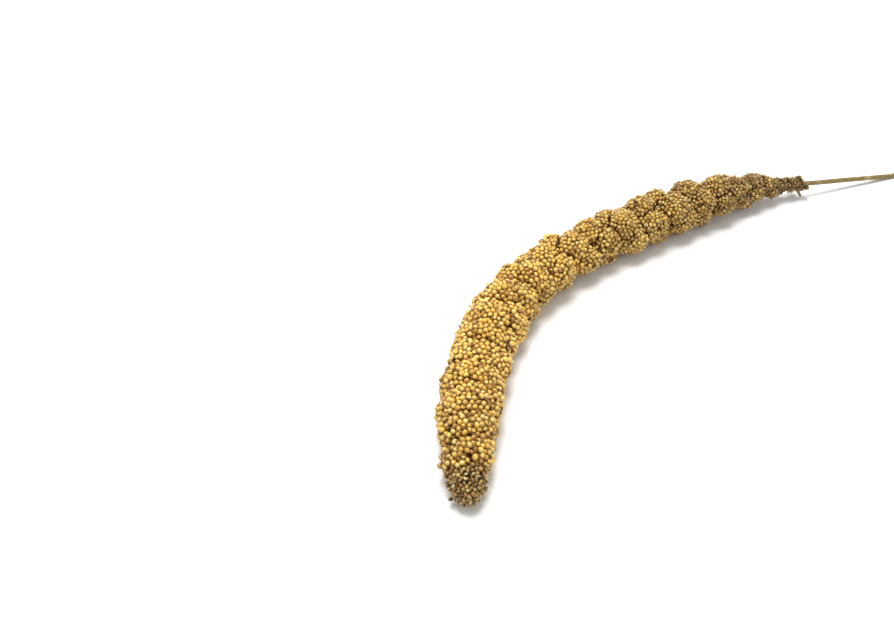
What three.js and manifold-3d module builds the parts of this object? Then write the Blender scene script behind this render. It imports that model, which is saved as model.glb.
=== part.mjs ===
// Millet seed head: one cut head of foxtail millet, lying on a flat surface.
// A straw stem runs on as the rachis through the whole head. Short side branches stand round it in
// whorls, and each ends in a rounded lobe that is covered with grains.
// Units are millimetres. +Z is up, the surface is Z = 0, the cut end of the stem points to +X.
import * as THREE from "three";
import { ConvexHull } from "three/addons/math/ConvexHull.js";
import { mergeVertices } from "three/addons/utils/BufferGeometryUtils.js";
import Module from "manifold-3d";

// Course of the stem and rachis, measured along the curve from the foot of the head
const HEAD_LENGTH = 213;
const STEM_LENGTH = 52;
const STEM_END = { x: 120.07, y: -23.12 };
const FOOT_HEADING = THREE.MathUtils.degToRad(-26.04);
const STEM_TURN = THREE.MathUtils.degToRad(3.2);
const STEM_TURN_LENGTH = 10;
const HEAD_TURN = THREE.MathUtils.degToRad(86.1);
const TURN_POWER = 1.71;
const SWAY = THREE.MathUtils.degToRad(3.88);
const SWAY_START = THREE.MathUtils.degToRad(-47.5);
const SWAY_LENGTH = 112;
const COURSE_STEP = 0.5;

// Height of the axis above the surface
const AXIS_HEIGHT = 8.4;
const STEM_DROP = 7.49;
const STEM_DROP_FROM = 40;
const STEM_DROP_TO = -40;
const STEM_DROP_POWER = 1.3;
const TIP_DROP = 5.3;
const TIP_DROP_FROM = 177;

// Stem and rachis
const STEM_RADIUS = 0.9;
const RACHIS_END_RADIUS = 0.5;
const RACHIS_END = 203;
const STEM_SIDES = 10;
const STEM_RINGS = 40;
const CUT_SLANT = 0.8;

// Outline of the head: a neck, a slimmer lower half, a fuller upper half, a rounded tip
const LOWER_RADIUS = 8.8;
const UPPER_RADIUS = 9.45;
const UPPER_FROM = 106;
const UPPER_TO = 148;
const MERGING_FROM = 118;
const MERGING_TO = 175;
const NECK_SHARE = 0.12;
const NECK_LENGTH = 66;
const TIP_LENGTH = 36;
const TIP_ROUNDING = 0.5;

// Whorls of lobes: each is one turn of a spiral, and lobe sizes are shares of the pitch
const FIRST_WHORL = 2;
const LAST_WHORL = 204;
const STUNTED_RADIUS = 2.5;
const STUNTED_TO = 13;
const LOWER_PITCH = 13;
const UPPER_PITCH = 9.2;
const PITCH_POWER = 0.75;
const SMALLEST_TAPER = 0.3;
const WHORL_SPACING = 0.86;
const FEWEST_LOBES = 3;
const SPARE_LOBES = 0.62;
const LOWER_LOBE = { width: 0.43, length: 0.5, depth: 0.5, lean: 0.42 };
const UPPER_LOBE = { width: 0.72, length: 0.78, depth: 0.62, lean: 0.2 };
const LEAST_DEPTH = 3.6;
const PLACE_SCATTER = 0.1;
const TURN_SCATTER = 0.16;
const SIZE_SCATTER = 0.08;
const END_DEPTH = 7.5;
const END_WIDTH = 5.4;

// Grains, larger than life, standing out of each lobe
const GRAIN_PITCH = 3.5;
const GRAIN_HEIGHT = 0.8;
const GRAIN_LEVEL = 0.12;
const FEWEST_GRAINS = 5;
const MOST_GRAINS = 17;
const RIM_POINTS = 5;
const RIM_LEVEL = -0.3;

// Fits between the pieces
const GAP = 0.3;
const SIBLING_OVERLAP = 1;
const BORE_SLACK = 0.35;
const BORE_SIDES = 8;
const BORE_REACH = 1.5;
const WELD = 0.002;
const SMOOTHING = 0.01;

// Colours
const STRAW = new THREE.Color(0x9a8650);
const BROWN = new THREE.Color(0x6e5634);
const KHAKI = new THREE.Color(0xa5874f);
const GOLD = new THREE.Color(0xd0a050);

const GOLDEN_ANGLE = Math.PI * (3 - Math.sqrt(5));

const manifold = await Module();
manifold.setup();

// A repeatable draw from -1 to 1 for one property of one lobe
function draw(number, property) {
  const wave = Math.sin(number * 12.9898 + property * 78.233) * 43758.5453;
  return 2 * (wave - Math.floor(wave)) - 1;
}

// Direction of growth in plan at a place along the curve
function heading(place) {
  if (place < 0) {
    return FOOT_HEADING + STEM_TURN * THREE.MathUtils.smoothstep(-place, 0, STEM_TURN_LENGTH);
  }
  const wave = SWAY_START + (2 * Math.PI * place) / SWAY_LENGTH;
  const sway = SWAY * (Math.sin(wave) - Math.sin(SWAY_START));
  return FOOT_HEADING + HEAD_TURN * (place / HEAD_LENGTH) ** TURN_POWER + sway;
}

// Plan of the axis, traced in short steps from the cut end of the stem to the tip
function tracePlan() {
  const points = [new THREE.Vector2(STEM_END.x, STEM_END.y)];
  for (let place = -STEM_LENGTH; place < HEAD_LENGTH + 10; place += COURSE_STEP) {
    const angle = heading(place + COURSE_STEP / 2);
    const step = new THREE.Vector2(-Math.cos(angle), -Math.sin(angle));
    points.push(step.multiplyScalar(COURSE_STEP).add(points.at(-1)));
  }
  return points;
}

const plan = tracePlan();

// Height of the axis: the stem comes down to the surface, and so does the tip
function axisHeight(place) {
  const stemShare = (STEM_DROP_FROM - place) / (STEM_DROP_FROM - STEM_DROP_TO);
  const tipShare = (place - TIP_DROP_FROM) / (HEAD_LENGTH - TIP_DROP_FROM);
  const stemDrop = STEM_DROP * THREE.MathUtils.clamp(stemShare, 0, 1) ** STEM_DROP_POWER;
  return AXIS_HEIGHT - stemDrop - TIP_DROP * Math.max(0, tipShare) ** 2;
}

function axisPoint(place) {
  const steps = THREE.MathUtils.clamp((place + STEM_LENGTH) / COURSE_STEP, 0, plan.length - 1.01);
  const whole = Math.floor(steps);
  const flat = plan[whole].clone().lerp(plan[whole + 1], steps - whole);
  return new THREE.Vector3(flat.x, flat.y, axisHeight(place));
}

// Directions at a place: along the axis to the tip, to the side, and up
function axisFrame(place) {
  const along = axisPoint(place + 1).sub(axisPoint(place - 1)).normalize();
  const side = new THREE.Vector3(0, 0, 1).cross(along).normalize();
  const up = along.clone().cross(side);
  return { along, side, up };
}

// How far a place is from the slimmer lower half to the fuller upper half
function upperShare(place) {
  return THREE.MathUtils.smoothstep(place, UPPER_FROM, UPPER_TO);
}

// How far a place is from single knobs to lobes that merge
function mergingShare(place) {
  return THREE.MathUtils.smoothstep(place, MERGING_FROM, MERGING_TO);
}

// Share of the full radius that the neck and the rounded tip leave
function taper(place) {
  const neckShare = THREE.MathUtils.clamp(place / NECK_LENGTH, 0, 1);
  const tipShare = THREE.MathUtils.clamp((place - HEAD_LENGTH + TIP_LENGTH) / TIP_LENGTH, 0, 1);
  const neck = 1 - (1 - NECK_SHARE) * (1 - neckShare) ** 2;
  return neck * (1 - tipShare ** 2) ** TIP_ROUNDING;
}

// Radius from the axis to the outer ends of the grains
function headRadius(place) {
  const full = THREE.MathUtils.lerp(LOWER_RADIUS, UPPER_RADIUS, upperShare(place));
  return place < STUNTED_TO ? STUNTED_RADIUS : full * taper(place);
}

// Distance from a lobe to its neighbours
function lobePitch(place) {
  const full = THREE.MathUtils.lerp(LOWER_PITCH, UPPER_PITCH, mergingShare(place));
  return full * Math.max(SMALLEST_TAPER, taper(place)) ** PITCH_POWER;
}

function rachisRadius(place) {
  const share = THREE.MathUtils.clamp(place / RACHIS_END, 0, 1);
  return THREE.MathUtils.lerp(STEM_RADIUS, RACHIS_END_RADIUS, share);
}

// One lobe: an ellipsoid that leans towards the tip, with its outer end on the head's outline
function makeLobe(whorl, number, place, turn, pitch, radius) {
  const share = mergingShare(place);
  const shape = (key) => THREE.MathUtils.lerp(LOWER_LOBE[key], UPPER_LOBE[key], share);
  const { along, side, up } = axisFrame(place);
  const out = side.multiplyScalar(Math.cos(turn)).addScaledVector(up, Math.sin(turn));
  const end = axisPoint(place).addScaledVector(out, radius);
  const axis = end.clone().sub(axisPoint(place - shape("lean") * radius)).normalize();
  const across = along.cross(axis).normalize();
  const lift = axis.clone().cross(across);
  const least = Math.min(UPPER_LOBE.depth * radius, LEAST_DEPTH);
  const depth = Math.max(shape("depth") * Math.min(pitch, radius), least);
  const width = shape("width") * pitch;
  const length = shape("length") * pitch;
  const centre = end.addScaledVector(axis, -depth);
  const inner = new THREE.Plane().setFromNormalAndCoplanarPoint(out.negate(), axisPoint(place));
  return { whorl, number, place, centre, inner, pitch, axis, across, lift, depth, width, length };
}

// The lobe that closes the tip, on the axis itself
function makeEndLobe(whorl, number) {
  const place = HEAD_LENGTH - END_DEPTH;
  const { along, side, up } = axisFrame(place);
  const centre = axisPoint(place);
  const back = centre.clone().addScaledVector(along, -END_DEPTH);
  const inner = new THREE.Plane().setFromNormalAndCoplanarPoint(along.clone().negate(), back);
  const pitch = lobePitch(place);
  const size = { depth: END_DEPTH, width: END_WIDTH, length: END_WIDTH };
  return { whorl, number, place, centre, inner, pitch, axis: along, across: side, lift: up, ...size };
}

// All lobes, whorl by whorl from the foot of the head, then the one at its tip
function makeLobes() {
  const lobes = [];
  let whorl = 0;
  let turn = 0;
  let place = FIRST_WHORL;
  while (place < LAST_WHORL) {
    const radius = headRadius(place);
    const pitch = lobePitch(place);
    const fit = Math.round((2 * Math.PI * radius) / pitch - SPARE_LOBES);
    const count = Math.max(FEWEST_LOBES, fit);
    const step = 1 / (count + 0.5);
    for (let i = 0; i < count; i += 1) {
      const number = lobes.length;
      const lobePlace = place + PLACE_SCATTER * pitch * draw(number, 1);
      const lobeTurn = 2 * Math.PI * (turn + TURN_SCATTER * step * draw(number, 2));
      const size = 1 + SIZE_SCATTER * draw(number, 3);
      lobes.push(makeLobe(whorl, number, lobePlace, lobeTurn, pitch, headRadius(place) * size));
      turn += step;
      place += WHORL_SPACING * pitch * step;
    }
    whorl += 1;
  }
  lobes.push(makeEndLobe(whorl - 1, lobes.length));
  return lobes;
}

// Flat bounds of a lobe: the rachis, the surface below, and a share of the way to each neighbour
function lobeBounds(lobe, lobes) {
  const bounds = [lobe.inner, new THREE.Plane(new THREE.Vector3(0, 0, -1), 0)];
  for (const other of lobes) {
    const apart = lobe.centre.distanceTo(other.centre);
    if (other === lobe || apart > lobe.pitch + other.pitch) {
      continue;
    }
    const share = lobe.pitch / (lobe.pitch + other.pitch);
    const normal = other.centre.clone().sub(lobe.centre).normalize();
    const reach = apart * share + (other.whorl === lobe.whorl ? SIBLING_OVERLAP : -GAP / 2);
    const point = lobe.centre.clone().addScaledVector(normal, reach);
    bounds.push(new THREE.Plane().setFromNormalAndCoplanarPoint(normal, point));
  }
  return bounds;
}

// Point of a lobe in one direction: on its ellipsoid, less a sink, and inside its bounds
function lobePoint(lobe, bounds, direction, sink) {
  const ray = lobe.axis.clone().multiplyScalar(direction.z * lobe.depth);
  ray.addScaledVector(lobe.across, direction.x * lobe.width);
  ray.addScaledVector(lobe.lift, direction.y * lobe.length);
  let share = 1 - sink / ray.length();
  for (const bound of bounds) {
    const speed = bound.normal.dot(ray);
    if (speed > 0) {
      share = Math.min(share, -bound.distanceToPoint(lobe.centre) / speed);
    }
  }
  return lobe.centre.clone().addScaledVector(ray, share);
}

// Directions of a lobe's corners: grains on the outer cap, a rim below them, and the root
function lobeDirections(lobe) {
  const area = Math.PI * (lobe.width + lobe.length) * lobe.depth * (1 - GRAIN_LEVEL);
  const fit = THREE.MathUtils.clamp(area / GRAIN_PITCH ** 2, FEWEST_GRAINS, MOST_GRAINS);
  const grains = Math.round(fit);
  const directions = [];
  const add = (level, turn) => {
    const ring = Math.sqrt(1 - level * level);
    directions.push(new THREE.Vector3(ring * Math.cos(turn), ring * Math.sin(turn), level));
  };
  for (let i = 0; i < grains; i += 1) {
    add(1 - ((i + 0.5) / grains) * (1 - GRAIN_LEVEL), i * GOLDEN_ANGLE + lobe.number);
  }
  for (let i = 0; i < RIM_POINTS; i += 1) {
    add(RIM_LEVEL, ((i + 0.3) / RIM_POINTS) * 2 * Math.PI + lobe.number);
  }
  add(-1, 0);
  return { directions, grains };
}

// Closed surface of a lobe. Each grain is a low pyramid: its tip is a corner of the hull of the
// directions, and its foot joins the sunk middles of the hull's triangles round that corner.
function lobeGeometry(lobe, lobes) {
  const bounds = lobeBounds(lobe, lobes);
  const { directions, grains } = lobeDirections(lobe);
  const isGrain = new Set(directions.slice(0, grains));
  const hull = new ConvexHull().setFromPoints(directions);
  const corner = (vertex) => lobePoint(lobe, bounds, vertex.point, 0);
  const pits = new Map();
  for (const face of hull.faces) {
    const corners = [0, 1, 2].map((i) => face.getEdge(i).head().point);
    if (corners.every((point) => isGrain.has(point))) {
      const middle = corners[0].clone().add(corners[1]).add(corners[2]).normalize();
      pits.set(face, lobePoint(lobe, bounds, middle, GRAIN_HEIGHT));
    }
  }
  const points = [];
  for (const face of hull.faces) {
    const edges = [0, 1, 2].map((i) => face.getEdge(i));
    if (!pits.has(face)) {
      points.push(...edges.map((edge) => corner(edge.head())));
      continue;
    }
    for (const edge of edges) {
      const far = pits.get(edge.twin.face) ?? corner(edge.head());
      points.push(corner(edge.tail()), far, pits.get(face));
    }
  }
  return new THREE.BufferGeometry().setFromPoints(points);
}

function toSolid(geometry) {
  const bare = new THREE.BufferGeometry().setAttribute("position", geometry.getAttribute("position"));
  bare.setIndex(geometry.index);
  const merged = mergeVertices(bare, WELD);
  return new manifold.Manifold(
    new manifold.Mesh({
      numProp: 3,
      vertProperties: merged.getAttribute("position").array,
      triVerts: new Uint32Array(merged.index.array),
    }),
  );
}

function toGeometry(solid) {
  const mesh = solid.getMesh();
  const geometry = new THREE.BufferGeometry();
  geometry.setAttribute("position", new THREE.BufferAttribute(mesh.vertProperties, 3));
  geometry.setIndex(new THREE.BufferAttribute(mesh.triVerts, 1));
  geometry.computeVertexNormals();
  return geometry;
}

// Plain hole for the rachis through a whorl
function boreGeometry(place, pitch) {
  const back = place - BORE_REACH * pitch;
  const front = Math.min(place + BORE_REACH * pitch, RACHIS_END + GAP);
  const { along } = axisFrame(place);
  const radius = rachisRadius(place) + GAP + BORE_SLACK * (pitch / LOWER_PITCH) ** 2;
  const bore = new THREE.CylinderGeometry(radius, radius, front - back, BORE_SIDES);
  bore.translate(0, (front + back) / 2 - place, 0);
  bore.applyQuaternion(new THREE.Quaternion().setFromUnitVectors(new THREE.Vector3(0, 1, 0), along));
  const middle = axisPoint(place);
  return bore.translate(middle.x, middle.y, middle.z);
}

// A whorl: its lobes joined to each other, with the rachis' hole through them
function whorlGeometry(members, lobes) {
  const solids = members.map((lobe) => toSolid(lobeGeometry(lobe, lobes)));
  const joined = manifold.Manifold.union(solids);
  const place = members.reduce((sum, lobe) => sum + lobe.place, 0) / members.length;
  const bore = toSolid(boreGeometry(place, members[0].pitch));
  return toGeometry(joined.subtract(bore).simplify(SMOOTHING));
}

// Stem and rachis: a turned, tapering straw with a slanting cut, bent along the axis
function stemGeometry() {
  const profile = [new THREE.Vector2(0, -STEM_LENGTH)];
  for (let i = 0; i <= STEM_RINGS; i += 1) {
    const place = THREE.MathUtils.lerp(-STEM_LENGTH, RACHIS_END, i / STEM_RINGS);
    profile.push(new THREE.Vector2(rachisRadius(place), place));
  }
  profile.push(new THREE.Vector2(0, RACHIS_END));
  const geometry = new THREE.LatheGeometry(profile, STEM_SIDES);
  const position = geometry.getAttribute("position");
  for (let i = 0; i < position.count; i += 1) {
    const atCut = position.getY(i) < -STEM_LENGTH + WELD;
    const slant = atCut ? CUT_SLANT * (STEM_RADIUS - position.getZ(i)) : 0;
    const place = position.getY(i) + slant;
    const { side, up } = axisFrame(place);
    const point = axisPoint(place).addScaledVector(side, position.getX(i));
    point.addScaledVector(up, -position.getZ(i));
    position.setXYZ(i, point.x, point.y, point.z);
  }
  return toGeometry(toSolid(geometry));
}

function addPiece(group, name, geometry, color) {
  const material = new THREE.MeshStandardMaterial({ color, roughness: 0.6, metalness: 0 });
  const mesh = new THREE.Mesh(geometry, material);
  mesh.name = name;
  group.add(mesh);
}

function buildHead() {
  const head = new THREE.Group();
  head.name = "millet_seed_head";
  addPiece(head, "stem", stemGeometry(), STRAW);
  const lobes = makeLobes();
  const whorls = lobes.at(-1).whorl + 1;
  for (let whorl = 0; whorl < whorls; whorl += 1) {
    const members = lobes.filter((lobe) => lobe.whorl === whorl);
    const place = members[0].place;
    const ripe = KHAKI.clone().lerp(GOLD, THREE.MathUtils.smoothstep(place, 40, 120));
    const name = `whorl_${String(whorl + 1).padStart(2, "0")}`;
    addPiece(head, name, whorlGeometry(members, lobes), place < STUNTED_TO ? BROWN : ripe);
  }
  return head;
}

export default buildHead();
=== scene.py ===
"""Dresses the millet seed head: a cut stem, a spiral of lobes and the grains that cover them."""

import logging
import math
from dataclasses import dataclass, field
from enum import Enum
from typing import Any

import bpy
import numpy as np
from mathutils import Euler, Matrix, Vector


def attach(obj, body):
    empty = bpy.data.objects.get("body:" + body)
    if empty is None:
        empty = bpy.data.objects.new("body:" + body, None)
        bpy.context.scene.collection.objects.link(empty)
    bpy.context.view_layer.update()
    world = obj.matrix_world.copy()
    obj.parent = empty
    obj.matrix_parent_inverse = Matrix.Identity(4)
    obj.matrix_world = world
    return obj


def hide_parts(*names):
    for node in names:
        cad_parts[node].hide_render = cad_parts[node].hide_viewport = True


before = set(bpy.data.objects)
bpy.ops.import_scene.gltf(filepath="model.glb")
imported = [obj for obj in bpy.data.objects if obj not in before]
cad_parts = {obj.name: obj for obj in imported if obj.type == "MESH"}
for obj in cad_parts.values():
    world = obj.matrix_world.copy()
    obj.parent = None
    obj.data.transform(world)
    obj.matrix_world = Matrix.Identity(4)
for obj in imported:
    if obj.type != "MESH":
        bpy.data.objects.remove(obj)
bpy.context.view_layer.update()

LOG = logging.getLogger("millet")
MM = 0.001
GOLDEN_ANGLE = math.pi * (3 - math.sqrt(5))
BODY = "root"
NOISE_MEAN = 0.5
HEXAGON_SHARE = 0.866
AREA_POWER = 1.6
CELL_FILL = 0.8
Range = tuple[float, float]
Triple = tuple[float, float, float]


def linear(code: int) -> tuple[float, float, float, float]:
    """Turns a screen colour into linear light.

    Args:
        code: The colour as 0xRRGGBB.

    Returns:
        Red, green, blue and alpha for a shader socket.
    """
    parts = [((code >> shift) & 255) / 255 for shift in (16, 8, 0)]
    red, green, blue = (p / 12.92 if p <= 0.04045 else ((p + 0.055) / 1.055) ** 2.4 for p in parts)
    return (red, green, blue, 1.0)


def smoothstep(value: float, low: float, high: float) -> float:
    """Eases a value from 0 at low to 1 at high."""
    share = min(max((value - low) / (high - low), 0.0), 1.0)
    return share * share * (3 - 2 * share)


def lerp(start: float, end: float, share: float) -> float:
    """Goes a share of the way from start to end."""
    return start + (end - start) * share


class Aspect(Enum):
    """What a repeatable draw is for, with a number that tells the draws apart."""

    PLACE = 1
    TURN = 2
    RADIUS = 3
    GOLD = 5
    HUSK = 9


def draw(number: int, aspect: Aspect) -> float:
    """Gives a repeatable number from -1 to 1 for one aspect of one lobe or husk."""
    wave = math.sin(number * 12.9898 + aspect.value * 78.233) * 43758.5453
    return 2 * (wave - math.floor(wave)) - 1


def unit(vector: np.ndarray) -> np.ndarray:
    """Scales a vector, or each row of an array, to length 1."""
    return vector / np.maximum(np.linalg.norm(vector, axis=-1, keepdims=True), 1e-12)


class Wire:
    """A node socket that Python arithmetic can use."""

    def __init__(self, tree: bpy.types.NodeTree, socket: bpy.types.NodeSocket) -> None:
        """Wraps an output socket of a tree."""
        self.tree = tree
        self.socket = socket

    def _maths(self, operation: str, first: Any, second: Any) -> "Wire":
        """Adds a Math node for two values, each a wire or a number."""
        settings = {"operation": operation}
        return Nodes(self.tree).add("ShaderNodeMath", settings, {0: first, 1: second})

    def __add__(self, other: Any) -> "Wire":
        """Adds."""
        return self._maths("ADD", self, other)

    def __radd__(self, other: Any) -> "Wire":
        """Adds, reflected."""
        return self._maths("ADD", other, self)

    def __sub__(self, other: Any) -> "Wire":
        """Subtracts."""
        return self._maths("SUBTRACT", self, other)

    def __rsub__(self, other: Any) -> "Wire":
        """Subtracts, reflected."""
        return self._maths("SUBTRACT", other, self)

    def __mul__(self, other: Any) -> "Wire":
        """Multiplies."""
        return self._maths("MULTIPLY", self, other)

    def __rmul__(self, other: Any) -> "Wire":
        """Multiplies, reflected."""
        return self._maths("MULTIPLY", other, self)

    def __pow__(self, other: Any) -> "Wire":
        """Raises to a power."""
        return self._maths("POWER", self, other)

    def __rpow__(self, other: Any) -> "Wire":
        """Raises to a power, reflected."""
        return self._maths("POWER", other, self)

    def at_least(self, other: Any) -> "Wire":
        """Keeps the larger of two values."""
        return self._maths("MAXIMUM", self, other)

    def eased(self, low: float, high: float) -> "Wire":
        """Eases from 0 at low to 1 at high.

        Args:
            low: The value that gives 0.
            high: The value that gives 1.

        Returns:
            The eased value.
        """
        values = {"Value": self, "From Min": low, "From Max": high}
        settings = {"interpolation_type": "SMOOTHSTEP"}
        return Nodes(self.tree).add("ShaderNodeMapRange", settings, values)


class Nodes:
    """Adds nodes to one tree."""

    def __init__(self, tree: bpy.types.NodeTree) -> None:
        """Takes the tree that the nodes go into."""
        self.tree = tree

    def add(
        self, kind: str, settings: dict[str, Any], values: dict[Any, Any], output: Any = 0
    ) -> Wire:
        """Adds a node of any kind.

        Args:
            kind: The node's type name.
            settings: Attributes of the node, set before its sockets.
            values: Socket names or places, with a number, a colour or a wire for each.
            output: Name or place of the output socket to give back.

        Returns:
            That output as a wire.
        """
        node = self.tree.nodes.new(kind)
        for name, setting in settings.items():
            setattr(node, name, setting)
        for key, value in values.items():
            socket = self._socket(node.inputs, key)
            if isinstance(value, Wire):
                self.tree.links.new(value.socket, socket)
            else:
                socket.default_value = value
        return Wire(self.tree, self._socket(node.outputs, output))

    @staticmethod
    def _socket(sockets: Any, key: Any) -> bpy.types.NodeSocket:
        """Finds an enabled socket by place or name."""
        if isinstance(key, int):
            return sockets[key]
        return next(s for s in sockets if s.name == key and s.enabled)

    def attribute(self, name: str) -> Wire:
        """Reads a number that is stored on the mesh."""
        return self.add("ShaderNodeAttribute", {"attribute_name": name}, {}, "Fac")

    def mix(self, share: Any, first: Any, second: Any) -> Wire:
        """Mixes two colours, with so much of the second."""
        return self.add("ShaderNodeMix", {"data_type": "RGBA"}, {0: share, 6: first, 7: second}, 2)

    def scaled(self, vector: Wire, scale: Any) -> Wire:
        """Scales a vector."""
        values = {"Vector": vector, "Scale": scale}
        return self.add("ShaderNodeVectorMath", {"operation": "SCALE"}, values)

    def combined(self, x: Any, y: Any, z: Any) -> Wire:
        """Makes a vector of three values."""
        return self.add("ShaderNodeCombineXYZ", {}, {0: x, 1: y, 2: z})

    def noise(self, scale: float, detail: float = 2.0, place: Wire | None = None) -> Wire:
        """Adds a noise on object coordinates.

        Args:
            scale: Waves in a metre.
            detail: Octaves.
            place: Coordinates to use in place of the plain ones.

        Returns:
            The noise, about 0.5.
        """
        place = place or self.add("ShaderNodeTexCoord", {}, {}, "Object")
        values = {"Vector": place, "Scale": scale, "Detail": detail}
        return self.add("ShaderNodeTexNoise", {}, values)


@dataclass(frozen=True)
class Finish:
    """A dry plant surface: its name, gloss and fine relief."""

    name: str
    roughness: float = 0.5
    roughness_spread: float = 0.3
    gloss: float = 0.5
    relief: float = 0.1
    relief_scale: float = 4000.0
    relief_height: float = 0.05 * MM

    def colour(self, nodes: Nodes) -> Wire:
        """Gives the base colour; each finish has its own."""
        raise NotImplementedError

    def material(self) -> bpy.types.Material:
        """Makes the material.

        Returns:
            A material with this finish.
        """
        material = bpy.data.materials.new(self.name)
        material.use_nodes = True
        tree = material.node_tree
        nodes = Nodes(tree)
        shader = tree.nodes["Principled BSDF"]
        shader.inputs["Specular IOR Level"].default_value = self.gloss
        fine = nodes.noise(self.relief_scale)
        tree.links.new(self.colour(nodes).socket, shader.inputs["Base Color"])
        rough = (fine - NOISE_MEAN) * self.roughness_spread + self.roughness
        tree.links.new(rough.socket, shader.inputs["Roughness"])
        values = {"Height": fine, "Strength": self.relief, "Distance": self.relief_height}
        bump = nodes.add("ShaderNodeBump", {}, values, "Normal")
        tree.links.new(bump.socket, shader.inputs["Normal"])
        return material


@dataclass(frozen=True)
class GrainFinish(Finish):
    """Hulled grains: each has its own tint, a root darkened as painted shade between the grains,
    and a small brown tip.
    """

    dull: int = 0x886A32
    ripe: int = 0xF4C65A
    pale: int = 0xF4D98A
    deep: int = 0x905C26
    # root: colour of the painted shade at each grain's root, between the grains; also the brown of
    # the grain's small tip.
    root: int = 0x4A2E12
    pale_range: Range = (0.5, 1.0)
    pale_share: float = 0.55
    deep_range: Range = (0.6, 1.0)
    deep_share: float = 0.7
    blotch_scale: float = 900.0
    blotch_range: Range = (0.45, 0.75)
    blotch_share: float = 0.25
    # Span along the grain over which the root is darkened as painted shade.
    root_shade_range: Range = (0.22, 0.64)
    tip_range: Range = (0.93, 1.0)
    tip_share: float = 0.35

    def colour(self, nodes: Nodes) -> Wire:
        """Mixes the grain's colour.

        Args:
            nodes: The material's nodes.

        Returns:
            The base colour.
        """
        tint = nodes.attribute("tint")
        along = nodes.attribute("along")
        deep, root = linear(self.deep), linear(self.root)
        blotch = nodes.noise(self.blotch_scale)
        base = nodes.mix(nodes.attribute("ripe"), linear(self.dull), linear(self.ripe))
        base = nodes.mix(tint.eased(*self.pale_range) * self.pale_share, base, linear(self.pale))
        base = nodes.mix((1 - tint).eased(*self.deep_range) * self.deep_share, base, deep)
        base = nodes.mix(blotch.eased(*self.blotch_range) * self.blotch_share, base, deep)
        # Painted shade: the lower part of each grain darkens towards the root colour, where its
        # neighbours would shade it.
        base = nodes.mix((1 - along).eased(*self.root_shade_range), base, root)
        # The small brown tip takes the same root colour; this part is the grain's own colour.
        return nodes.mix(along.eased(*self.tip_range) * self.tip_share, base, root)


@dataclass(frozen=True)
class BedFinish(Finish):
    """What shows between the grains: brown husk and stalk bases."""

    dark: int = 0x4E3214
    light: int = 0x7E562A
    patch_scale: float = 1200.0
    patch_detail: float = 3.0
    patch_range: Range = (0.4, 0.65)

    def colour(self, nodes: Nodes) -> Wire:
        """Mixes two browns by a noise."""
        patches = nodes.noise(self.patch_scale, self.patch_detail).eased(*self.patch_range)
        return nodes.mix(patches, linear(self.dark), linear(self.light))


@dataclass(frozen=True)
class ChaffFinish(Finish):
    """Bristles and husk flakes: pale straw, with a tint for each."""

    pale: int = 0xE6D6A4
    brown: int = 0x8A6A3A
    wear_scale: float = 1500.0
    wear_range: Range = (0.35, 0.7)
    wear_share: float = 0.3

    def colour(self, nodes: Nodes) -> Wire:
        """Mixes the chaff's colour.

        Args:
            nodes: The material's nodes.

        Returns:
            The base colour.
        """
        worn = nodes.noise(self.wear_scale).eased(*self.wear_range) * self.wear_share
        base = nodes.mix(nodes.attribute("tint"), linear(self.brown), linear(self.pale))
        return nodes.mix(worn, base, linear(self.brown))


@dataclass(frozen=True)
class StrawFinish(Finish):
    """The stem: olive straw with fine streaks along it and a pale pith at the cut."""

    straw: int = 0x8E7A44
    olive: int = 0x66572C
    pith: int = 0xD8C896
    turn: float = 0.0
    streak_stretch: Triple = (0.03, 1.0, 1.0)
    streak_scale: float = 3500.0
    streak_detail: float = 3.0
    streak_range: Range = (0.35, 0.65)
    patch_scale: float = 120.0
    patch_range: Range = (0.5, 0.8)
    patch_share: float = 0.5

    def colour(self, nodes: Nodes) -> Wire:
        """Mixes the straw's colour.

        Args:
            nodes: The material's nodes.

        Returns:
            The base colour.
        """
        place = nodes.add("ShaderNodeTexCoord", {}, {}, "Object")
        values = {"Vector": place, "Rotation": (0.0, 0.0, self.turn), "Scale": self.streak_stretch}
        place = nodes.add("ShaderNodeMapping", {}, values)
        streaks = nodes.noise(self.streak_scale, self.streak_detail, place)
        patches = nodes.noise(self.patch_scale).eased(*self.patch_range)
        base = nodes.mix(streaks.eased(*self.streak_range), linear(self.olive), linear(self.straw))
        base = nodes.mix(patches * self.patch_share, base, linear(self.pith))
        return nodes.mix(nodes.attribute("cut"), base, linear(self.pith))


class Ripeness(Enum):
    """How far the grains of a whorl came on, with the record's slot for each."""

    STUNTED = "stunted_grain"
    LOWER = "lower_grain"
    UPPER = "upper_grain"


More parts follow.
